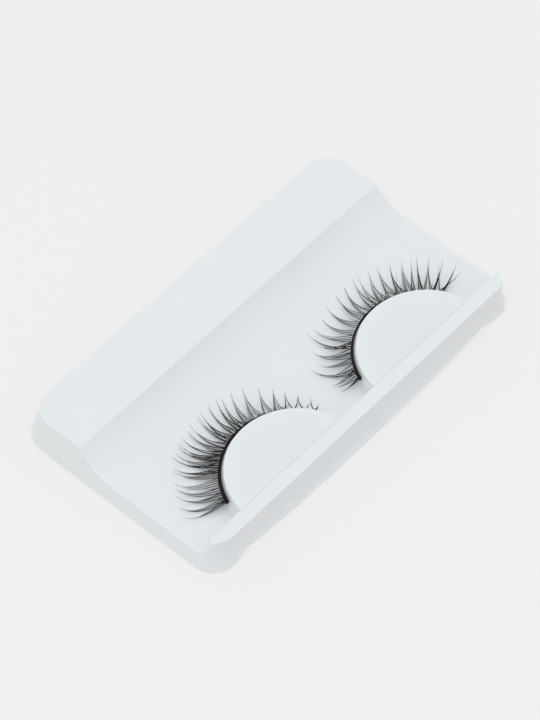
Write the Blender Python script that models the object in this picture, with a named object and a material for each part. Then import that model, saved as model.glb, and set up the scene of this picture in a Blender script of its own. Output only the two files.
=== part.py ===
"""False eyelash pair on its vacuum-formed display tray.

Metres, +Z up. X runs along the tray, +Y from the front ridge to the platform at the back, and the
origin is on the surface it stands on, under the middle of the tray.
"""
import math

import bmesh
import bpy

MM = 0.001

# Tray heights
FIELD_Z = 4.6 * MM
MOON_Z = 8.3 * MM
PLATFORM_Z = 9.9 * MM
CREASE_Z = 3.2 * MM
LIP_Z = 0.7 * MM
SHEET = 0.6 * MM

# Tray plan: the walls at each level, from the foot to the platform
WALL_LEVELS = (
    {"z": 0.0, "end_x": 48.93 * MM, "back_y": 28.37 * MM,
     "front_y": -27.15 * MM, "front_r": 5.0 * MM, "swell": 1.0},
    {"z": LIP_Z, "end_x": 48.80 * MM, "back_y": 28.22 * MM,
     "front_y": -27.14 * MM, "front_r": 5.1 * MM, "swell": 0.9},
    {"z": CREASE_Z, "end_x": 48.28 * MM, "back_y": 27.70 * MM,
     "front_y": -27.10 * MM, "front_r": 5.4 * MM, "swell": 0.0},
    {"z": FIELD_Z, "end_x": 48.00 * MM, "back_y": 27.40 * MM,
     "front_y": -27.02 * MM, "front_r": 5.6 * MM, "swell": 0.0},
    {"z": MOON_Z, "end_x": 47.75 * MM, "back_y": 26.65 * MM,
     "front_y": -26.73 * MM, "front_r": 6.2 * MM, "swell": 0.0},
    {"z": PLATFORM_Z, "end_x": 47.64 * MM, "back_y": 26.33 * MM,
     "front_y": -26.60 * MM, "front_r": 6.4 * MM, "swell": 0.0},
)
BACK_CORNER_R = 6.0 * MM
OVER_END_X = 60.0 * MM
RIDGE_REACH_X = 62.0 * MM
CORNER_STEPS = 7

# The lip in front of the foot: a swell along the middle, a pinch, and a lug at each corner
SWELL_DEPTH = 1.22 * MM
SWELL_POWER = 3
LUG_DEPTH = 0.92 * MM
PINCH_X = 38.6 * MM
LUG_X = 42.6 * MM
FRONT_STEPS = 32

# The cove between the field and the platform
COVE_FOOT_Y = 2.07 * MM
COVE_TOP_Y = 11.25 * MM
COVE_STEPS = 10

# The front ridge, which runs from end to end, and the half-moons that grow out of it
RIDGE_INNER_Y = -23.65 * MM
MOON_R = 15.65 * MM
MOON_Y = -25.70 * MM
MOON_X = {"left": -20.34 * MM, "right": 21.92 * MM}
MOON_DRAFT = 0.32
RIDGE_DRAFT = 0.19
MOON_STEPS = 36

# The band, stuck to a half-moon's wall a little below its top edge
SEAT_GAP = 0.2 * MM
BAND_THICK = 0.5 * MM
BAND_TOP_Z = 7.50 * MM
BAND_FOOT_Z = 6.60 * MM
BAND_SPAN_DEG = {"left": (159.0, 26.5), "right": (27.5, 158.5)}
BAND_STEPS = 44

# The hairs: roots on the band, a sag towards the field, and tips that curl up
ROOT_Z = 7.05 * MM
HAIR_FALL = 0.2 * MM
HAIR_SAG = 1.4 * MM
ROOT_DEPTH = 1.3 * MM
ROOT_THICK = 0.60 * MM
LOCKS = 22
LOCK_ROOT_WIDTH = 1.45 * MM
LOCK_TIP_WIDTH = 0.14 * MM
LOCK_TIP_THICK = 0.14 * MM
LOCK_STEPS = 7

# Hair length along each band, from the outer corner of the eye to the inner corner
HAIR_LENGTHS = {
    "left": (
        {"share": 0.00, "length": 10.0 * MM},
        {"share": 0.30, "length": 10.3 * MM},
        {"share": 0.52, "length": 9.6 * MM},
        {"share": 0.68, "length": 8.2 * MM},
        {"share": 0.83, "length": 5.2 * MM},
        {"share": 1.00, "length": 3.0 * MM},
    ),
    "right": (
        {"share": 0.00, "length": 8.8 * MM},
        {"share": 0.15, "length": 9.4 * MM},
        {"share": 0.72, "length": 9.6 * MM},
        {"share": 0.86, "length": 8.6 * MM},
        {"share": 1.00, "length": 6.3 * MM},
    ),
}


def clear_scene():
    for item in list(bpy.data.objects):
        bpy.data.objects.remove(item, do_unlink=True)


def collection(name):
    group = bpy.data.collections.new(name)
    bpy.context.scene.collection.children.link(group)
    return group


def material(name, colour, roughness, metallic=0.0):
    look = bpy.data.materials.new(name)
    look.use_nodes = True
    shader = look.node_tree.nodes["Principled BSDF"]
    shader.inputs["Base Color"].default_value = (*colour, 1.0)
    shader.inputs["Roughness"].default_value = roughness
    shader.inputs["Metallic"].default_value = metallic
    return look


def loft(name, rings, group, look=None):
    """A closed solid skinned over rings of equal length, with a flat cap on the first and last."""
    work = bmesh.new()
    rows = [[work.verts.new(point) for point in ring] for ring in rings]
    for lower, upper in zip(rows, rows[1:]):
        for i in range(len(lower)):
            j = (i + 1) % len(lower)
            work.faces.new((lower[i], lower[j], upper[j], upper[i]))
    work.faces.new(rows[0])
    work.faces.new(rows[-1])
    bmesh.ops.recalc_face_normals(work, faces=work.faces)
    mesh = bpy.data.meshes.new(name)
    work.to_mesh(mesh)
    work.free()
    item = bpy.data.objects.new(name, mesh)
    group.objects.link(item)
    if look:
        mesh.materials.append(look)
    return item


def boolean(target, tool, operation):
    """Adds an exact Boolean modifier; the tool is hidden and drawn as wire."""
    step = target.modifiers.new(f"{operation.lower()}_{tool.name}", "BOOLEAN")
    step.operation = operation
    step.solver = "EXACT"
    step.object = tool
    tool.hide_render = True
    tool.display_type = "WIRE"


def arc(centre_x, centre_y, radius, start_deg, end_deg, steps):
    """Points on a level arc, from the start angle to the end angle."""
    points = []
    for i in range(steps + 1):
        turn = math.radians(start_deg + (end_deg - start_deg) * i / steps)
        points.append((centre_x + radius * math.cos(turn), centre_y + radius * math.sin(turn)))
    return points


def lip_depth(x):
    """How far the lip stands out in front of the foot at a place along the tray."""
    reach = abs(x)
    if reach < PINCH_X:
        return SWELL_DEPTH * (1 - (reach / PINCH_X) ** SWELL_POWER)
    share = min(1.0, (reach - PINCH_X) / (LUG_X - PINCH_X))
    return LUG_DEPTH * 0.5 * (1.0 - math.cos(math.pi * share))


def wall_ring(level, inset):
    """The tray's outline at one level, moved in by the sheet's thickness for the hollow below it."""
    end_x = level["end_x"] - inset
    back_y = level["back_y"] - inset
    front_y = level["front_y"] + inset
    back_r = BACK_CORNER_R - inset
    front_r = level["front_r"] - inset
    swell = level["swell"] if inset == 0.0 else 0.0
    points = arc(end_x - back_r, back_y - back_r, back_r, 0, 90, CORNER_STEPS)
    points += arc(back_r - end_x, back_y - back_r, back_r, 90, 180, CORNER_STEPS)
    front = arc(front_r - end_x, front_y + front_r, front_r, 180, 270, CORNER_STEPS)
    straight = end_x - front_r
    for i in range(1, FRONT_STEPS):
        front.append((-straight + 2 * straight * i / FRONT_STEPS, front_y))
    front += arc(end_x - front_r, front_y + front_r, front_r, 270, 360, CORNER_STEPS)
    for x, y in front:
        rim = max(0.0, min(1.0, (front_y + front_r - y) / front_r))
        points.append((x, y - swell * rim * lip_depth(x)))
    return [(x, y, level["z"]) for x, y in points]


def envelope(name, inset, group):
    """The tray as a full block up to the platform, before the well is cut out of its top."""
    rings = [wall_ring(level, inset) for level in WALL_LEVELS]
    top = [(x, y, z - inset) for x, y, z in rings[-1]]
    if inset:
        below = [(x, y, -SHEET) for x, y, z in rings[0]]
        rings.insert(0, below)
    rings[-1] = top
    return loft(name, rings, group)


def well(name, inset, group):
    """The space over the field and the cove, open to the front, to both ends and to the top."""
    rise = PLATFORM_Z - FIELD_Z
    run = COVE_TOP_Y - COVE_FOOT_Y
    radius = (run * run + rise * rise) / (2 * rise)
    centre_z = FIELD_Z + radius
    sweep = math.acos((centre_z - PLATFORM_Z + inset) / (radius + inset))
    outer = radius + inset
    profile = [(-2 * WALL_LEVELS[0]["back_y"], FIELD_Z - inset)]
    for i in range(COVE_STEPS + 1):
        turn = sweep * i / COVE_STEPS
        profile.append((COVE_FOOT_Y + outer * math.sin(turn), centre_z - outer * math.cos(turn)))
    last_y, last_z = profile[-1]
    over = 2 * MM
    profile.append((last_y + over * math.cos(sweep), last_z + over * math.sin(sweep)))
    profile.append((last_y + over * math.cos(sweep), 2 * PLATFORM_Z))
    profile.append((profile[0][0], 2 * PLATFORM_Z))
    return loft(name, [[(x, y, z) for y, z in profile] for x in (-OVER_END_X, OVER_END_X)], group)


def moon_ring(z, inset):
    """The outline of the ridge and both half-moons at one level, wider further down."""
    drop = MOON_Z - z
    radius = MOON_R + drop * MOON_DRAFT - inset
    inner_y = RIDGE_INNER_Y + drop * RIDGE_DRAFT - inset
    start = math.degrees(math.asin((inner_y - MOON_Y) / radius))
    ahead_y = 1.5 * WALL_LEVELS[0]["front_y"]
    points = [(-RIDGE_REACH_X, ahead_y), (RIDGE_REACH_X, ahead_y), (RIDGE_REACH_X, inner_y)]
    for side in ("right", "left"):
        points += arc(MOON_X[side], MOON_Y, radius, start, 180 - start, MOON_STEPS)
    points.append((-RIDGE_REACH_X, inner_y))
    return [(x, y, z) for x, y in points]


def moons(name, inset, group):
    """The ridge and the half-moons as one block that stands through the field."""
    foot_z = FIELD_Z - 1.5 * MM
    rings = [moon_ring(foot_z, inset)]
    rings.append([(x, y, MOON_Z - inset) for x, y, z in moon_ring(MOON_Z, inset)])
    return loft(name, rings, group)


def tray(group, cutters, look):
    """A sheet of even thickness: the outer form less the same form moved in by the sheet."""
    forms = []
    for inset in (0.0, SHEET):
        label = "hollow" if inset else "outer"
        space = well(f"{label}_well", inset, cutters)
        boolean(space, moons(f"{label}_moons", inset, cutters), "DIFFERENCE")
        block = envelope("tray" if not inset else "hollow", inset, cutters if inset else group)
        boolean(block, space, "DIFFERENCE")
        forms.append(block)
    outer, hollow = forms
    boolean(outer, hollow, "DIFFERENCE")
    outer.data.materials.append(look)
    return outer


def wall_radius(z):
    """The half-moon's radius at a height on its drafted wall."""
    return MOON_R + (MOON_Z - z) * MOON_DRAFT


def around(side, angle_deg, radius, z):
    """A point round a half-moon."""
    turn = math.radians(angle_deg)
    return (MOON_X[side] + radius * math.cos(turn), MOON_Y + radius * math.sin(turn), z)


def band(side, group, look):
    """A thin strip that follows the half-moon's wall."""
    first, last = BAND_SPAN_DEG[side]
    rings = []
    for i in range(BAND_STEPS + 1):
        angle = first + (last - first) * i / BAND_STEPS
        ring = []
        for z, out in ((BAND_FOOT_Z, 0), (BAND_FOOT_Z, 1), (BAND_TOP_Z, 1), (BAND_TOP_Z, 0)):
            radius = wall_radius(z) + SEAT_GAP + out * BAND_THICK
            ring.append(around(side, angle, radius, z))
        rings.append(ring)
    return loft(f"{side}_band", rings, group, look)


def hair_length(side, share):
    """The hair length at a share of the way along a band, read between the table's rows."""
    rows = HAIR_LENGTHS[side]
    for row, following in zip(rows, rows[1:]):
        if share <= following["share"]:
            part = (share - row["share"]) / (following["share"] - row["share"])
            return row["length"] + part * (following["length"] - row["length"])
    return rows[-1]["length"]


def hair_place(out, length):
    """Radius and height of a hair at a distance from its root."""
    share = out / length
    root_radius = wall_radius(ROOT_Z) + 2 * SEAT_GAP + BAND_THICK
    return root_radius + out, ROOT_Z - HAIR_FALL * share - 4 * HAIR_SAG * share * (1 - share)


def fringe(side, group, cutters, look):
    """Tapered locks fused to the strip that their roots make along the band."""
    first, last = BAND_SPAN_DEG[side]
    rings = []
    for i in range(BAND_STEPS + 1):
        share = i / BAND_STEPS
        angle = first + (last - first) * share
        ring = []
        for out, lift in ((0.0, -1), (ROOT_DEPTH, -1), (ROOT_DEPTH, 1), (0.0, 1)):
            radius, z = hair_place(out, hair_length(side, share))
            ring.append(around(side, angle, radius, z + 0.5 * lift * ROOT_THICK))
        rings.append(ring)
    strip = loft(f"{side}_fringe", rings, group, look)
    for i in range(LOCKS):
        share = (i + 0.5) / LOCKS
        boolean(strip, lock(side, i, share, cutters), "UNION")
    return strip


def lock(side, number, share, cutters):
    """One lock, from inside the root strip to its fine tip."""
    first, last = BAND_SPAN_DEG[side]
    angle = first + (last - first) * share
    length = hair_length(side, share)
    rings = []
    for i in range(LOCK_STEPS + 1):
        part = i / LOCK_STEPS
        out = 0.5 * ROOT_DEPTH + (length - 0.5 * ROOT_DEPTH) * part
        radius, z = hair_place(out, length)
        taper = 1 - part ** 1.3
        half = 0.5 * (LOCK_TIP_WIDTH + (LOCK_ROOT_WIDTH - LOCK_TIP_WIDTH) * taper)
        thick = 0.5 * (LOCK_TIP_THICK + (0.8 * ROOT_THICK - LOCK_TIP_THICK) * taper)
        turn = math.degrees(half / radius)
        ring = []
        for across, lift in ((-1, -1), (1, -1), (1, 1), (-1, 1)):
            ring.append(around(side, angle + across * turn, radius, z + lift * thick))
        rings.append(ring)
    return loft(f"{side}_lock_{number + 1:02d}", rings, cutters)


def build():
    clear_scene()
    group = collection("false_eyelash_pair_with_tray")
    cutters = collection("cutters")
    sheet = material("glossy_white_sheet", (0.86, 0.88, 0.89), 0.25)
    band_look = material("band_thread", (0.012, 0.010, 0.009), 0.6)
    hair_look = material("black_fibre", (0.016, 0.013, 0.012), 0.45)
    tray(group, cutters, sheet)
    for side in ("left", "right"):
        band(side, group, band_look)
        fringe(side, group, cutters, hair_look)


build()
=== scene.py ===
"""False eyelash pair on its vacuum-formed display tray.

Metres, +Z up. X runs along the tray, +Y from the front ridge to the platform at the back, and the
origin is on the surface it stands on, under the middle of the tray.
"""

import math
import random

import bmesh
import bpy
from mathutils import Matrix, Vector


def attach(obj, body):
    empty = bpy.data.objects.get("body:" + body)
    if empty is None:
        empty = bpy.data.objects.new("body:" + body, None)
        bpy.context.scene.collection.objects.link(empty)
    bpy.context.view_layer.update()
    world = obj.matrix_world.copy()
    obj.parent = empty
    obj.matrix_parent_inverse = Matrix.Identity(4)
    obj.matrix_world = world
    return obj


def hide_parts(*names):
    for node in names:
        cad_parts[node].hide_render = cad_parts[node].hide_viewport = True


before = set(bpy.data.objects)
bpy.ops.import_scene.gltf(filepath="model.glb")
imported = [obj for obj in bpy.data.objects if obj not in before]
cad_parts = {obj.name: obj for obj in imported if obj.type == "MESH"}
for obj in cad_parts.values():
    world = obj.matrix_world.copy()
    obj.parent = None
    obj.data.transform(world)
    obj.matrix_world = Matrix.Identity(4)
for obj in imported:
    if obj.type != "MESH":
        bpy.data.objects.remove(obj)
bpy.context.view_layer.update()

MM = 0.001

# Tray heights and sheet
FIELD_Z = 4.6 * MM
MOON_Z = 8.3 * MM
PLATFORM_Z = 9.9 * MM
SHEET = 0.4 * MM
EDGE_ROUND = 0.5 * MM

# The tray's walls at each level, from the foot to the platform: where the end, back and front walls
# are, the radii of the two front corners, and how much of the lip's swell the level takes
LEVEL_COLUMNS = ("z", "end_x", "back_y", "front_y", "left_r", "right_r", "swell")
WALL_LEVELS_MM = (
    (0.0, 48.93, 28.37, -27.15, 5.0, 5.0, 1.0),
    (0.7, 48.80, 28.22, -27.14, 5.1, 4.7, 0.9),
    (3.2, 48.28, 27.70, -27.10, 5.4, 4.1, 0.0),
    (4.6, 48.00, 27.40, -27.02, 5.6, 3.9, 0.0),
    (8.3, 47.75, 26.65, -26.73, 6.2, 3.5, 0.0),
    (9.9, 47.64, 26.33, -26.60, 6.4, 3.3, 0.0),
)
BACK_CORNER_R = 6.0 * MM
CORNER_STEPS = 8
FRONT_STEPS = 32

# The lip in front of the foot: a swell along the middle, a pinch, and a lug at each corner
SWELL_DEPTH = 1.22 * MM
SWELL_POWER = 3
LUG_DEPTH = 0.92 * MM
PINCH_X = 38.6 * MM
LUG_X = 42.6 * MM

# The cove: a slope of 60 degrees whose foot is rounded off to the field
COVE_CORNER_Y = 8.19 * MM
COVE_SLOPE = math.radians(60)
COVE_FOOT_CUT = 6.12 * MM
COVE_STEPS = 18

# The front ridge and the two half-moons that grow out of it
RIDGE_INNER_Y = -23.65 * MM
RIDGE_DRAFT = 0.19
TIP_LOW = (-47.70 * MM, -22.99 * MM, 4.62 * MM)
TIP_HIGH = (-45.80 * MM, -24.25 * MM, 8.3 * MM)
MOON_R = 15.65 * MM
MOON_Y = -25.70 * MM
MOON_X = {"left": -20.34 * MM, "right": 21.92 * MM}
MOON_DRAFT = 0.32
MOON_SIDES = 168
# Width of the painted shade line across each half-moon
HAIRLINE_SHADE_WIDTH = 0.24 * MM

# The band round each half-moon, the roots on it, and how the hairs fall and sag between root and tip
SEAT_GAP = 0.2 * MM
BAND_THICK = 0.5 * MM
BAND_SHOWN = {"left": 0.68 * MM, "right": 0.55 * MM}
BAND_OFF_WALL = 0.12 * MM
BAND_HEIGHT = 0.882 * MM
BAND_SPAN_DEG = {"left": (158.9, 27.0), "right": (158.4, 28.0)}
BAND_STEPS = 66
ROOT_Z = 7.05 * MM
HAIR_FALL = 0.2 * MM
HAIR_SAG = 2.1 * MM
SAG_LENGTH = 9.4 * MM
SAG_START = 1.25
SAG_END = 0.85
SAG_PEAK = 0.262
HAIR_POINTS = 11
KNOT_STEP_DEG = 2.15

# A strand's radius at its root, in millimetres, how it tapers, and how far its tip goes past the
# distance in its row. Clusters of four strands and the crossing hairs are finer
STRAND_ROOT = {"left": 0.130, "right": 0.124}
STRAND_OF_FOUR_ROOT = 0.100
SHORT_CROSSING_ROOT = 0.085
LONG_CROSSING_ROOT = 0.062
LONG_CROSSING_MM = 5
TAPER = 0.88
TAPER_POWER = 1.5
TIP_REACH = 0.45 * MM

# Which knots a cluster takes its strands from: a margin beyond its stretch of band, the number of
# hairs under which it has two strands only, and the angle under which its stretch of band has to end
# for it to stand on two legs
KNOT_MARGIN_DEG = 0.7
FEW_HAIRS = 7
LEGS_BELOW_DEG = {"left": 123, "right": 100}

# Clusters of hairs: where their tips meet, in degrees round the half-moon and millimetres out from
# the roots, the stretch of band that their roots take, and how many hairs run into each
CLUSTER_COLUMNS = ("tip_deg", "out_mm", "from_deg", "to_deg", "hairs")
CLUSTERS = {
    "left": (
        (157.1, 9.4, 156.4, 158.6, 6),
        (152.0, 9.2, 154.0, 157.5, 7),
        (145.0, 9.1, 149.8, 154.9, 9),
        (140.8, 9.0, 143.8, 150.2, 10),
        (137.7, 9.3, 135.8, 143.0, 11),
        (130.9, 9.2, 129.6, 135.8, 10),
        (129.1, 9.3, 126.9, 131.3, 8),
        (123.1, 9.8, 122.5, 128.6, 9),
        (121.0, 9.3, 121.5, 126.9, 8),
        (117.2, 9.3, 117.1, 122.4, 8),
        (115.6, 9.3, 116.2, 121.4, 7),
        (112.0, 9.2, 112.5, 117.0, 8),
        (107.2, 8.7, 109.7, 113.4, 8),
        (103.1, 9.1, 105.7, 110.5, 9),
        (97.2, 9.1, 99.6, 104.9, 9),
        (95.0, 8.8, 97.3, 102.7, 8),
        (89.5, 9.0, 92.0, 96.6, 9),
        (84.4, 8.7, 87.7, 92.0, 8),
        (81.8, 8.1, 84.3, 88.6, 7),
        (76.6, 8.2, 78.7, 83.8, 8),
        (70.0, 7.8, 68.8, 77.2, 9),
        (62.9, 6.3, 60.8, 68.0, 8),
        (55.5, 5.4, 53.6, 59.3, 7),
        (49.8, 4.3, 46.0, 50.9, 6),
        (41.8, 3.3, 38.1, 43.8, 5),
        (33.5, 2.5, 29.9, 35.7, 4),
        (27.4, 1.2, 28.0, 29.1, 2),
    ),
    "right": (
        (160.6, 4.8, 156.4, 157.8, 3),
        (156.5, 5.3, 153.8, 156.2, 5),
        (154.7, 5.8, 148.3, 151.6, 5),
        (142.0, 9.1, 148.0, 153.6, 7),
        (148.5, 5.4, 143.1, 147.1, 6),
        (140.1, 6.9, 138.3, 143.1, 8),
        (132.2, 7.9, 132.5, 138.3, 9),
        (133.7, 6.8, 129.2, 132.9, 6),
        (120.8, 9.6, 126.0, 130.3, 7),
        (127.5, 6.8, 122.8, 127.1, 7),
        (118.5, 8.3, 117.4, 122.8, 9),
        (110.6, 7.7, 112.5, 117.4, 9),
        (102.5, 8.0, 104.2, 110.9, 10),
        (93.4, 8.2, 95.6, 103.1, 10),
        (86.8, 8.4, 89.9, 96.7, 9),
        (80.7, 8.4, 81.2, 88.5, 9),
        (77.1, 8.6, 79.2, 83.9, 6),
        (71.7, 8.3, 72.8, 79.8, 9),
        (66.0, 8.4, 64.1, 71.8, 10),
        (60.2, 8.5, 58.1, 64.3, 9),
        (54.3, 7.9, 51.5, 57.3, 9),
        (48.5, 8.5, 50.2, 52.9, 6),
        (45.8, 8.9, 44.2, 47.6, 7),
        (40.1, 8.8, 37.3, 43.7, 8),
        (34.8, 6.9, 31.6, 35.5, 5),
        (32.6, 8.3, 35.5, 36.8, 6),
        (26.1, 8.3, 28.4, 29.7, 6),
        (22.0, 6.4, 31.5, 32.2, 1),
    ),
}

# Crossing hairs: what share of the knots along each stretch of band sends one out to each side
CROSSING_COLUMNS = ("from_deg", "to_deg", "share", "length_mm")
CROSSINGS = {
    "left": (
        (98.0, 155.0, 0.2, 4.0),
        (60.0, 152.0, 0.07, 6.6),
        (66.0, 98.0, 0.5, 3.0),
        (48.0, 66.0, 0.2, 1.8),
    ),
    "right": (
        (90.0, 153.0, 0.08, 3.6),
        (40.0, 150.0, 0.03, 6.0),
        (58.0, 90.0, 0.35, 3.0),
        (36.0, 58.0, 0.25, 2.2),
    ),
}

# Camera: the side and height it looks from, the point it looks at, and how far off it is
CAMERA_AZIMUTH = math.radians(-48.31)
CAMERA_ELEVATION = math.radians(53.83)
CAMERA_ROLL = math.radians(0.08)
CAMERA_TARGET = Vector((1.307, 1.53, 0.0)) * MM
CAMERA_DISTANCE = 734.3 * MM
CAMERA_LENS_MM = 169.2

# The lamps and the tent are a little blue
LAMP_TINT = (0.968, 1.0, 1.03)


def rows(columns, table):
    return [dict(zip(columns, line)) for line in table]


def deselect():
    bpy.ops.object.select_all(action="DESELECT")


def choose(item):
    deselect()
    item.select_set(True)
    bpy.context.view_layer.objects.active = item


def new_box(name, low, high):
    """A box from its two corners, with its place in its mesh."""
    deselect()
    size = [b - a for a, b in zip(low, high)]
    middle = [(a + b) / 2 for a, b in zip(low, high)]
    bpy.ops.mesh.primitive_cube_add(size=1, location=middle, scale=size)
    item = bpy.context.object
    item.name = name
    item.data.name = name
    bpy.ops.object.transform_apply(location=True, rotation=True, scale=True)
    return item


def edit(item):
    choose(item)
    bpy.ops.object.mode_set(mode="EDIT")


def leave():
    bpy.ops.object.mode_set(mode="OBJECT")


def pick(kind, test):
    """Selects the vertices, edges or faces of the edited mesh that pass the test, and no others."""
    bpy.ops.mesh.select_mode(type=kind)
    bpy.ops.mesh.select_all(action="DESELECT")
    mesh = bpy.context.edit_object.data
    work = bmesh.from_edit_mesh(mesh)
    for part in {"VERT": work.verts, "EDGE": work.edges, "FACE": work.faces}[kind]:
        if test(part):
            part.select_set(True)
    work.select_flush_mode()
    bmesh.update_edit_mesh(mesh)


def near(a, b, tolerance=0.01 * MM):
    return abs(a - b) < tolerance


def spots(edge):
    return edge.verts[0].co, edge.verts[1].co


def apply(item, kind, **settings):
    choose(item)
    step = item.modifiers.new(kind.lower(), kind)
    for name, value in settings.items():
        setattr(step, name, value)
    bpy.ops.object.modifier_apply(modifier=step.name)


def cut(item, tool, operation="DIFFERENCE"):
    """An exact Boolean, applied, after which the tool is gone."""
    apply(item, "BOOLEAN", operation=operation, solver="EXACT", object=tool)
    bpy.data.objects.remove(tool, do_unlink=True)


def lip_depth(x):
    """How far the lip stands out in front of the foot at a place along the tray."""
    reach = abs(x)
    if reach < PINCH_X:
        return SWELL_DEPTH * (1 - (reach / PINCH_X) ** SWELL_POWER)
    share = min(1.0, (reach - PINCH_X) / (LUG_X - PINCH_X))
    return LUG_DEPTH * 0.5 * (1.0 - math.cos(math.pi * share))


def shape_level(level, foot):
    """Draws in the tray's walls at one level and opens its two front corners."""
    at_z = level["z"]
    front = foot["front_y"]
    narrow = level["end_x"] / foot["end_x"]
    depth = foot["back_y"] - front
    shorten = (level["back_y"] - level["front_y"]) / depth
    pick("VERT", lambda v: near(v.co.z, at_z))
    bpy.ops.transform.resize(value=(narrow, shorten, 1), center_override=(0, front, at_z))
    bpy.ops.transform.translate(value=(0, level["front_y"] - front, 0))
    for side, radius in ((-1, level["left_r"]), (1, level["right_r"])):
        grown = radius / (foot["left_r"] * (narrow + shorten) / 2)
        corner = (side * level["end_x"], level["front_y"], at_z)
        inner_x = level["end_x"] - 1.02 * foot["left_r"]
        inner_y = level["front_y"] + 1.02 * foot["left_r"]
        pick("VERT", lambda v: near(v.co.z, at_z) and side * v.co.x > inner_x and v.co.y < inner_y)
        bpy.ops.transform.resize(value=(grown, grown, 1), center_override=corner)


def push_lip(level):
    """Brings the lip forward, one column of points at a time."""
    at_z = level["z"]
    front = level["front_y"]
    reach = level["left_r"]
    work = bmesh.from_edit_mesh(bpy.context.edit_object.data)
    places = []
    for point in work.verts:
        if near(point.co.z, at_z) and point.co.y < front + reach:
            places.append((point.co.x, point.co.y))
    for x, y in places:
        rim = max(0.0, min(1.0, (front + reach - y) / reach))
        forward = level["swell"] * rim * lip_depth(x)
        if forward < 0.001 * MM:
            continue
        pick("VERT", lambda v: near(v.co.z, at_z) and near(v.co.x, x, 0.002 * MM)
             and near(v.co.y, y, 0.002 * MM))
        bpy.ops.transform.translate(value=(0, -forward, 0))


def tray_block():
    """The tray as a full block up to the platform: tapering walls, round corners, front lip."""
    levels = [{name: value if name == "swell" else value * MM for name, value in row.items()}
              for row in rows(LEVEL_COLUMNS, WALL_LEVELS_MM)]
    foot = levels[0]
    front = foot["front_y"]
    block = new_box("lash_tray", (-foot["end_x"], front, 0.0),
                    (foot["end_x"], foot["back_y"], PLATFORM_Z))
    edit(block)

    def upright(edge, behind):
        a, b = spots(edge)
        return near(a.x, b.x) and near(a.y, b.y) and (a.y > 0) == behind

    pick("EDGE", lambda e: upright(e, True))
    bpy.ops.mesh.bevel(offset=BACK_CORNER_R, segments=CORNER_STEPS, affect="EDGES")
    pick("EDGE", lambda e: upright(e, False) and near(e.verts[0].co.y, front))
    bpy.ops.mesh.bevel(offset=foot["left_r"], segments=CORNER_STEPS, affect="EDGES")

    def along_front(edge):
        a, b = spots(edge)
        return near(a.y, front) and near(b.y, front) and near(a.z, b.z) and abs(a.x - b.x) > 50 * MM

    pick("EDGE", along_front)
    bpy.ops.mesh.subdivide(number_cuts=FRONT_STEPS - 1)
    for level in levels[1:-1]:
        bpy.ops.mesh.select_all(action="SELECT")
        bpy.ops.mesh.bisect(plane_co=(0, 0, level["z"]), plane_no=(0, 0, 1))
    for level in levels[1:]:
        shape_level(level, foot)
    for level in levels[:2]:
        push_lip(level)
    leave()
    return block


def well_cutter():
    """The space over the field and the cove, less the ridge and the two half-moons."""
    top = 14 * MM
    cutter = new_box("well", (-60 * MM, -57 * MM, FIELD_Z), (60 * MM, COVE_CORNER_Y, top))
    edit(cutter)
    pick("VERT", lambda v: near(v.co.y, COVE_CORNER_Y) and near(v.co.z, top))
    bpy.ops.transform.translate(value=(0, (top - FIELD_Z) / math.tan(COVE_SLOPE), 0))

    def cove_foot(edge):
        return all(near(p.y, COVE_CORNER_Y) and near(p.z, FIELD_Z) for p in spots(edge))

    pick("EDGE", cove_foot)
    bpy.ops.mesh.bevel(offset=COVE_FOOT_CUT, segments=COVE_STEPS, affect="EDGES")
    leave()

    low = 3.0 * MM
    ridge = new_box("ridge", (-62 * MM, -58 * MM, low), (62 * MM, RIDGE_INNER_Y, MOON_Z))
    edit(ridge)
    pick("VERT", lambda v: near(v.co.y, RIDGE_INNER_Y) and near(v.co.z, low))
    bpy.ops.transform.translate(value=(0, (MOON_Z - low) * RIDGE_DRAFT, 0))
    leave()
    for side, x in MOON_X.items():
        deselect()
        bpy.ops.mesh.primitive_cone_add(
            vertices=MOON_SIDES, radius1=MOON_R + (MOON_Z - low) * MOON_DRAFT, radius2=MOON_R,
            depth=MOON_Z - low, location=(x, MOON_Y, (MOON_Z + low) / 2))
        moon = bpy.context.object
        bpy.ops.object.transform_apply(location=True, rotation=True, scale=True)
        cut(ridge, moon, "UNION")
    cut(cutter, ridge)
    return cutter


def ridge_tip_cutter():
    """A slanting block that takes off the ridge's sharp left tip, down to the field."""
    low, high = Vector(TIP_LOW), Vector(TIP_HIGH)
    rise = (high - low).normalized()
    across = Vector((0, 0, 1)).cross(rise).normalized()
    outward = rise.cross(across)
    if outward.x > 0:
        across, outward = -across, -outward
    turn = Matrix((across, outward, rise)).transposed().to_euler()
    size = Vector((9, 6, 8)) * MM
    middle = low + rise * (size.z / 2 + 0.05 * MM) + outward * size.y / 2
    deselect()
    bpy.ops.mesh.primitive_cube_add(size=1, location=middle, rotation=turn, scale=size)
    tip = bpy.context.object
    bpy.ops.object.transform_apply(location=True, rotation=True, scale=True)
    return tip


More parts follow.
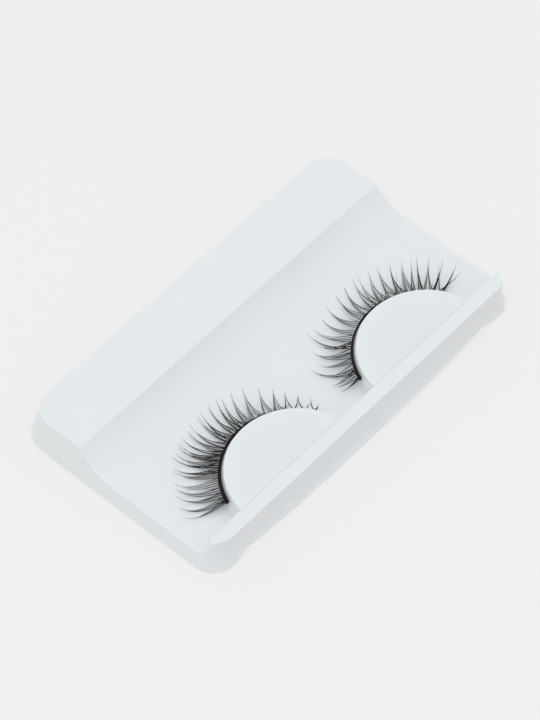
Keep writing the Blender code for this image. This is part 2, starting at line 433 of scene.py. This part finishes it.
def tray():
    """The block less the well, its edges rounded, then hollowed to a sheet that is open below."""
    shell = tray_block()
    cut(shell, well_cutter())
    cut(shell, ridge_tip_cutter())
    edit(shell)
    # The ridge and the half-moons share one flat top
    pick("FACE", lambda f: all(near(v.co.z, MOON_Z, 0.02 * MM) for v in f.verts))
    bpy.ops.mesh.dissolve_faces(use_verts=True)
    bpy.ops.mesh.select_all(action="SELECT")
    bpy.ops.mesh.remove_doubles(threshold=0.2 * MM)
    bpy.ops.mesh.select_all(action="SELECT")
    bpy.ops.mesh.dissolve_limited(angle_limit=math.radians(0.4))
    pick("FACE", lambda f: f.normal.z < -0.9 and near(f.calc_center_median().z, 0))
    bpy.ops.mesh.delete(type="FACE")
    leave()
    # The shortest edges, where the half-moons meet the ridge, hold the rounding to about 0.14 mm
    apply(shell, "BEVEL", width=EDGE_ROUND, segments=4, limit_method="ANGLE",
          angle_limit=math.radians(31))
    edit(shell)
    bpy.ops.mesh.select_all(action="SELECT")
    bpy.ops.mesh.normals_make_consistent(inside=False)
    leave()
    apply(shell, "SOLIDIFY", thickness=SHEET, offset=-1, use_even_offset=True)
    edit(shell)
    pick("VERT", lambda v: v.co.z < 0)
    bpy.ops.transform.resize(value=(1, 1, 0), center_override=(0, 0, 0))
    leave()
    choose(shell)
    bpy.ops.object.shade_smooth_by_angle(angle=math.radians(40))
    apply(shell, "WEIGHTED_NORMAL", keep_sharp=True, weight=60)
    return shell


def wall_radius(z):
    """The half-moon's radius at a height on its drafted wall."""
    return MOON_R + (MOON_Z - z) * MOON_DRAFT


def around(side, angle_deg, radius, z):
    turn = math.radians(angle_deg)
    return (MOON_X[side] + radius * math.cos(turn), MOON_Y + radius * math.sin(turn), z)


def band_size(share):
    """How much of its full size the band has, from its thick outer end to its thin inner end."""
    if share < 0.025:
        return 1.32
    if share < 0.4:
        return 1.25 - 0.35 * share / 0.4
    return 0.90 - 0.56 * (share - 0.4) / 0.6


def band(side):
    """A flat thread that follows the half-moon's wall and thins towards one end."""
    deselect()
    bpy.ops.curve.primitive_bezier_circle_add(radius=0.5)
    section = bpy.context.object
    section.name = f"{side}_band_section"
    section.scale = (BAND_SHOWN[side], BAND_HEIGHT, 1)
    bpy.ops.object.transform_apply(location=True, rotation=True, scale=True)
    section.data.resolution_u = 2
    path = bpy.data.curves.new(f"{side}_lash_band", "CURVE")
    path.dimensions = "3D"
    path.twist_mode = "Z_UP"
    path.bevel_mode = "OBJECT"
    path.bevel_object = section
    path.use_fill_caps = True
    line = path.splines.new("POLY")
    line.points.add(BAND_STEPS)
    first, last = BAND_SPAN_DEG[side]
    for i, point in enumerate(line.points):
        share = i / BAND_STEPS
        size = band_size(share)
        z = ROOT_Z
        radius = wall_radius(z) + BAND_OFF_WALL + size * BAND_SHOWN[side] / 2
        x, y, z = around(side, first + (last - first) * share, radius, z)
        point.co = (x, y, z, 1)
        point.radius = size
    item = bpy.data.objects.new(f"{side}_lash_band", path)
    bpy.context.scene.collection.objects.link(item)
    choose(item)
    bpy.ops.object.convert(target="MESH")
    bpy.data.objects.remove(section, do_unlink=True)
    finish_tubes(item)
    return item


def finish_tubes(item):
    """Merges doubles and turns every face of swept tubes outwards."""
    edit(item)
    bpy.ops.mesh.select_all(action="SELECT")
    bpy.ops.mesh.remove_doubles(threshold=0.0005 * MM)
    bpy.ops.mesh.select_all(action="SELECT")
    bpy.ops.mesh.normals_make_consistent(inside=False)
    leave()
    choose(item)
    bpy.ops.object.shade_smooth_by_angle(angle=math.radians(60))


def hair(side, root_deg, axis_deg, tip_deg, out, shown, thick, gather=1.0, lift=0.0, apart=0.0):
    """Points of one hair: x, y, z and radius, from inside the band to the tip."""
    start = wall_radius(ROOT_Z) + 0.5 * BAND_THICK + SEAT_GAP
    sag = HAIR_SAG * out / SAG_LENGTH
    points = []
    for i in range(HAIR_POINTS):
        part = i / (HAIR_POINTS - 1)
        along = part * shown
        axis = axis_deg + (tip_deg - axis_deg) * along
        angle = axis + (root_deg - axis_deg) * (1 - along) ** gather + apart * along ** 4
        dip = along ** SAG_START * (1 - along) ** SAG_END / SAG_PEAK
        fall = HAIR_FALL * along + sag * dip
        z = ROOT_Z + lift * along - fall
        radius = start + (out + TIP_REACH) * along
        x, y, z = around(side, angle, radius, z)
        slim = thick * (1 - TAPER * part ** TAPER_POWER)
        points.append((x, y, z, slim))
    return points


def knots(side):
    """The places along the band, in degrees, where the hairs are tied on in small bundles."""
    last, first = BAND_SPAN_DEG[side]
    count = round((last - first) / KNOT_STEP_DEG)
    return [first + (last - first) * (i + 0.5) / count for i in range(count)]


def hairs(side):
    """All the hairs of one lash as one mesh of fine tapering strands."""
    dice = random.Random({"left": 11, "right": 23}[side])
    tied = knots(side)
    strands = []
    for row in rows(CLUSTER_COLUMNS, CLUSTERS[side]):
        low, high = sorted((row["from_deg"], row["to_deg"]))
        roots = [k for k in tied if low - KNOT_MARGIN_DEG <= k <= high + KNOT_MARGIN_DEG]
        thick = STRAND_ROOT[side]
        if row["hairs"] < FEW_HAIRS:
            roots = [low, high]
        elif row["to_deg"] < LEGS_BELOW_DEG[side]:
            roots = [low, low + 0.25 * (high - low), low + 0.8 * (high - low), high]
        if len(roots) == 4:
            thick = STRAND_OF_FOUR_ROOT
        middle = (low + high) / 2
        for i, knot in enumerate(roots):
            root = knot + dice.uniform(-0.15, 0.15)
            shown = 1.0 if i % 2 == 0 else dice.uniform(0.7, 0.97)
            strands.append(hair(side, root, middle, row["tip_deg"], row["out_mm"] * MM, shown,
                                thick * dice.uniform(0.87, 1.13), dice.uniform(1.2, 2.3),
                                dice.uniform(-0.2, 0.2) * MM, dice.uniform(-0.6, 0.6)))
    for row in rows(CROSSING_COLUMNS, CROSSINGS[side]):
        is_long = row["length_mm"] >= LONG_CROSSING_MM
        crossing_root = LONG_CROSSING_ROOT if is_long else SHORT_CROSSING_ROOT
        for knot in tied:
            if not row["from_deg"] <= knot < row["to_deg"]:
                continue
            for lean in (-1, 1):
                if dice.random() > row["share"]:
                    continue
                root = knot + dice.uniform(-0.2, 0.2)
                length = row["length_mm"] * dice.uniform(0.7, 1.1) * MM
                tip = root + lean * dice.uniform(2.5, 6.5)
                slim = dice.uniform(0.85, 1.1) * crossing_root
                strands.append(hair(side, root, root, tip, length, 1.0, slim, 1.0, -0.6 * MM))
    data = bpy.data.curves.new(f"{side}_lash_hairs", "CURVE")
    data.dimensions = "3D"
    data.bevel_depth = MM
    data.bevel_resolution = 0
    data.use_fill_caps = True
    for points in strands:
        line = data.splines.new("POLY")
        line.points.add(len(points) - 1)
        for point, (x, y, z, slim) in zip(line.points, points):
            point.co = (x, y, z, 1)
            point.radius = slim
    item = bpy.data.objects.new(f"{side}_lash_hairs", data)
    bpy.context.scene.collection.objects.link(item)
    choose(item)
    bpy.ops.object.convert(target="MESH")
    finish_tubes(item)
    return item


def linear(text):
    """A colour from its sRGB hex text, turned to linear light."""
    values = [int(text[i:i + 2], 16) / 255 for i in (1, 3, 5)]
    light = [v / 12.92 if v <= 0.04045 else ((v + 0.055) / 1.055) ** 2.4 for v in values]
    return (*light, 1.0)


def add(look, kind, settings=None, links=None):
    """Adds a node to a material, with its settings and the outputs that run into it."""
    node = look.node_tree.nodes.new(kind)
    for name, value in (settings or {}).items():
        if isinstance(name, int) or name in node.inputs:
            node.inputs[name].default_value = value
        else:
            setattr(node, name, value)
    for name, output in (links or {}).items():
        look.node_tree.links.new(output, node.inputs[name])
    return node


def new_look(name, **sockets):
    look = bpy.data.materials.new(name)
    look.use_nodes = True
    shader = look.node_tree.nodes["Principled BSDF"]
    for socket, value in sockets.items():
        shader.inputs[socket.replace("_", " ")].default_value = value
    return look, shader


def vacuum_formed_polystyrene():
    """White high-impact polystyrene sheet: smooth and softly glossy, with a faint unevenness."""
    look, shader = new_look("vacuum_formed_white_polystyrene", IOR=1.59, Roughness=0.22,
                            Subsurface_Weight=1.0, Subsurface_Radius=(1.0, 1.0, 1.0),
                            Subsurface_Scale=0.15 * MM)
    place = add(look, "ShaderNodeTexCoord").outputs["Object"]
    cloud = add(look, "ShaderNodeTexNoise", {"Scale": 45.0, "Detail": 2.0}, {"Vector": place})
    tone = add(look, "ShaderNodeMix", {"data_type": "RGBA"}, {"Factor": cloud.outputs["Fac"]})
    tone.inputs["A"].default_value = linear("#e6e7e7")
    tone.inputs["B"].default_value = linear("#e8e9e9")
    # Painted shade: the tops of the two half-moons, behind the ridge's inner edge, are painted a
    # little greyer
    far = []
    for x in MOON_X.values():
        middle = (x, RIDGE_INNER_Y - 2.05 * MM, MOON_Z)
        far.append(add(look, "ShaderNodeVectorMath", {"operation": "DISTANCE", 1: middle},
                       {0: place}).outputs["Value"])
    nearest = add(look, "ShaderNodeMath", {"operation": "MINIMUM"}, {0: far[0], 1: far[1]})
    moon_top_shade_mask = add(look, "ShaderNodeMapRange",
               {"From Min": 15.6 * MM, "From Max": 9.0 * MM, "To Min": 0.0, "To Max": 1.0},
               {"Value": nearest.outputs["Value"]})
    axes = add(look, "ShaderNodeSeparateXYZ", None, {"Vector": place})
    along = axes.outputs["Y"]
    behind = add(look, "ShaderNodeMapRange",
                 {"From Min": RIDGE_INNER_Y - 0.1 * MM, "From Max": RIDGE_INNER_Y + 0.1 * MM},
                 {"Value": along})
    share = add(look, "ShaderNodeMath", {"operation": "MULTIPLY"},
                {0: moon_top_shade_mask.outputs["Result"], 1: behind.outputs["Result"]})
    moon_top_shade = add(look, "ShaderNodeMix", {"data_type": "RGBA"}, {"Factor": share.outputs["Value"]})
    moon_top_shade.inputs["B"].default_value = linear("#e3e5e5")
    look.node_tree.links.new(tone.outputs["Result"], moon_top_shade.inputs["A"])
    # Painted shade: a dark hairline is painted across each half-moon, in line with the ridge's inner
    # edge; no groove is modelled there
    off = add(look, "ShaderNodeMath", {"operation": "SUBTRACT", 1: RIDGE_INNER_Y}, {0: along})
    reach = add(look, "ShaderNodeMath", {"operation": "ABSOLUTE"}, {0: off.outputs["Value"]})
    line = add(look, "ShaderNodeMapRange",
               {"From Min": HAIRLINE_SHADE_WIDTH, "From Max": HAIRLINE_SHADE_WIDTH / 3, "To Min": 0.0, "To Max": 1.0},
               {"Value": reach.outputs["Value"]})
    span = add(look, "ShaderNodeMapRange",
               {"From Min": 16.1 * MM, "From Max": 15.1 * MM, "To Min": 0.0, "To Max": 1.0},
               {"Value": nearest.outputs["Value"]})
    hairline_shade_mask = add(look, "ShaderNodeMath", {"operation": "MULTIPLY"},
                  {0: line.outputs["Result"], 1: span.outputs["Result"]})
    hairline_shade = add(look, "ShaderNodeMix", {"data_type": "RGBA"}, {"Factor": hairline_shade_mask.outputs["Value"]})
    hairline_shade.inputs["B"].default_value = linear("#dadcdc")
    look.node_tree.links.new(moon_top_shade.outputs["Result"], hairline_shade.inputs["A"])
    # Painted shade: the front wall is painted a little greyer towards its top
    outside = add(look, "ShaderNodeMapRange",
                  {"From Min": RIDGE_INNER_Y + 0.2 * MM, "From Max": -26.6 * MM}, {"Value": along})
    under = add(look, "ShaderNodeMapRange",
                {"From Min": MOON_Z - 0.02 * MM, "From Max": MOON_Z - 0.3 * MM},
                {"Value": axes.outputs["Z"]})
    wall = add(look, "ShaderNodeMath", {"operation": "MULTIPLY"},
               {0: outside.outputs["Result"], 1: under.outputs["Result"]})
    high = add(look, "ShaderNodeMapRange",
               {"From Min": 0.5 * MM, "From Max": 5.0 * MM, "To Min": 0.3, "To Max": 1.0},
               {"Value": axes.outputs["Z"]})
    # Mask of the painted shade on the upper front wall
    drawn = add(look, "ShaderNodeMath", {"operation": "MULTIPLY"},
                {0: wall.outputs["Value"], 1: high.outputs["Result"]})
    front = add(look, "ShaderNodeMix", {"data_type": "RGBA"}, {"Factor": drawn.outputs["Value"]})
    front.inputs["B"].default_value = linear("#dfe0e1")
    look.node_tree.links.new(hairline_shade.outputs["Result"], front.inputs["A"])
    look.node_tree.links.new(front.outputs["Result"], shader.inputs["Base Color"])
    # The heated sheet keeps a slight orange peel, about 2 mm from crest to crest
    peel = add(look, "ShaderNodeTexNoise", {"Scale": 500.0, "Detail": 1.0}, {"Vector": place})
    bump = add(look, "ShaderNodeBump", {"Strength": 0.05, "Distance": 0.02 * MM},
               {"Height": peel.outputs["Fac"]})
    look.node_tree.links.new(bump.outputs["Normal"], shader.inputs["Normal"])
    return look


def glued_cotton_thread():
    """Black cotton thread knotted and dipped in latex glue: dark brown, a little shiny, ribbed."""
    look, shader = new_look("glued_black_cotton_thread", IOR=1.5, Roughness=0.55,
                            Specular_IOR_Level=0.15)
    place = add(look, "ShaderNodeTexCoord").outputs["Object"]
    fleck = add(look, "ShaderNodeTexNoise", {"Scale": 2600.0, "Detail": 2.0}, {"Vector": place})
    tone = add(look, "ShaderNodeMix", {"data_type": "RGBA"}, {"Factor": fleck.outputs["Fac"]})
    tone.inputs["A"].default_value = linear("#120c07")
    tone.inputs["B"].default_value = linear("#1e150f")
    look.node_tree.links.new(tone.outputs["Result"], shader.inputs["Base Color"])
    bump = add(look, "ShaderNodeBump", {"Strength": 0.5, "Distance": 0.05 * MM},
               {"Height": fleck.outputs["Fac"]})
    look.node_tree.links.new(bump.outputs["Normal"], shader.inputs["Normal"])
    return look


def drawn_pbt_fibre():
    """Black PBT fibre drawn to a fine point: black with a brown cast and a soft sheen."""
    look, shader = new_look("drawn_black_pbt_fibre", IOR=1.57, Roughness=0.5,
                            Specular_IOR_Level=0.1)
    place = add(look, "ShaderNodeTexCoord").outputs["Object"]
    drift = add(look, "ShaderNodeTexNoise", {"Scale": 700.0, "Detail": 1.0}, {"Vector": place})
    tone = add(look, "ShaderNodeMix", {"data_type": "RGBA"}, {"Factor": drift.outputs["Fac"]})
    tone.inputs["A"].default_value = linear("#0c0906")
    tone.inputs["B"].default_value = linear("#17110c")
    look.node_tree.links.new(tone.outputs["Result"], shader.inputs["Base Color"])
    return look


def backlit_acrylic():
    """Matt opal acrylic table top, lit a little from below, so that it takes only faint shadows."""
    look, shader = new_look("backlit_opal_acrylic", IOR=1.45, Roughness=1.0, Specular_IOR_Level=0.0,
                            Emission_Color=(1.035, 1.0, 0.969, 1.0), Emission_Strength=0.415)
    place = add(look, "ShaderNodeTexCoord").outputs["Object"]
    cloud = add(look, "ShaderNodeTexNoise", {"Scale": 3.0, "Detail": 1.0}, {"Vector": place})
    tone = add(look, "ShaderNodeMix", {"data_type": "RGBA"}, {"Factor": cloud.outputs["Fac"]})
    tone.inputs["A"].default_value = linear("#b1b1b1")
    tone.inputs["B"].default_value = linear("#b2b2b2")
    look.node_tree.links.new(tone.outputs["Result"], shader.inputs["Base Color"])
    return look


def dress(item, look, node):
    item.data.materials.clear()
    item.data.materials.append(look)
    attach(item, "root")
    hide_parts(node)


def floor():
    deselect()
    bpy.ops.mesh.primitive_plane_add(size=6)
    item = bpy.context.object
    item.name = "table_top"
    item.data.materials.append(backlit_acrylic())


def area_light(name, place, aim, size, watts):
    data = bpy.data.lights.new(name, "AREA")
    data.shape = "DISK"
    data.size = size
    data.energy = watts
    data.color = LAMP_TINT
    item = bpy.data.objects.new(name, data)
    item.location = place
    item.rotation_euler = (Vector(aim) - Vector(place)).to_track_quat("-Z", "Y").to_euler()
    bpy.context.scene.collection.objects.link(item)


def studio():
    """Light from all round, as in a white tent, with a large soft lamp above."""
    world = bpy.data.worlds.new("white_tent")
    world.use_nodes = True
    background = world.node_tree.nodes["Background"]
    background.inputs["Color"].default_value = (*LAMP_TINT, 1.0)
    background.inputs["Strength"].default_value = 0.82
    bpy.context.scene.world = world
    area_light("overhead_softbox", (-0.19, -0.13, 0.92), (0, 0, 0), 0.95, 1.75)
    area_light("overhead_spot", (-0.19, -0.13, 0.90), (0, 0, 0), 0.12, 0.5)
    bpy.context.scene.view_settings.view_transform = "Standard"
    bpy.context.scene.view_settings.look = "None"


def camera():
    data = bpy.data.cameras.new("camera")
    data.lens = CAMERA_LENS_MM
    data.sensor_width = 36
    data.clip_start = 0.01
    data.clip_end = 50
    item = bpy.data.objects.new("camera", data)
    bpy.context.scene.collection.objects.link(item)
    az, el, roll = CAMERA_AZIMUTH, CAMERA_ELEVATION, CAMERA_ROLL
    back = Vector((math.sin(az) * math.cos(el), -math.cos(az) * math.cos(el), math.sin(el)))
    right = Vector((math.cos(az), math.sin(az), 0.0))
    up = back.cross(right)
    across = right * math.cos(roll) + up * math.sin(roll)
    above = up * math.cos(roll) - right * math.sin(roll)
    turned = Matrix((across, above, back)).transposed().to_4x4()
    item.matrix_world = Matrix.Translation(CAMERA_TARGET + back * CAMERA_DISTANCE) @ turned
    bpy.context.scene.camera = item


def main():
    dress(tray(), vacuum_formed_polystyrene(), "tray")
    thread = glued_cotton_thread()
    fibre = drawn_pbt_fibre()
    for side in ("left", "right"):
        dress(band(side), thread, f"{side}_band")
        dress(hairs(side), fibre, f"{side}_fringe")
    floor()
    studio()
    camera()


main()
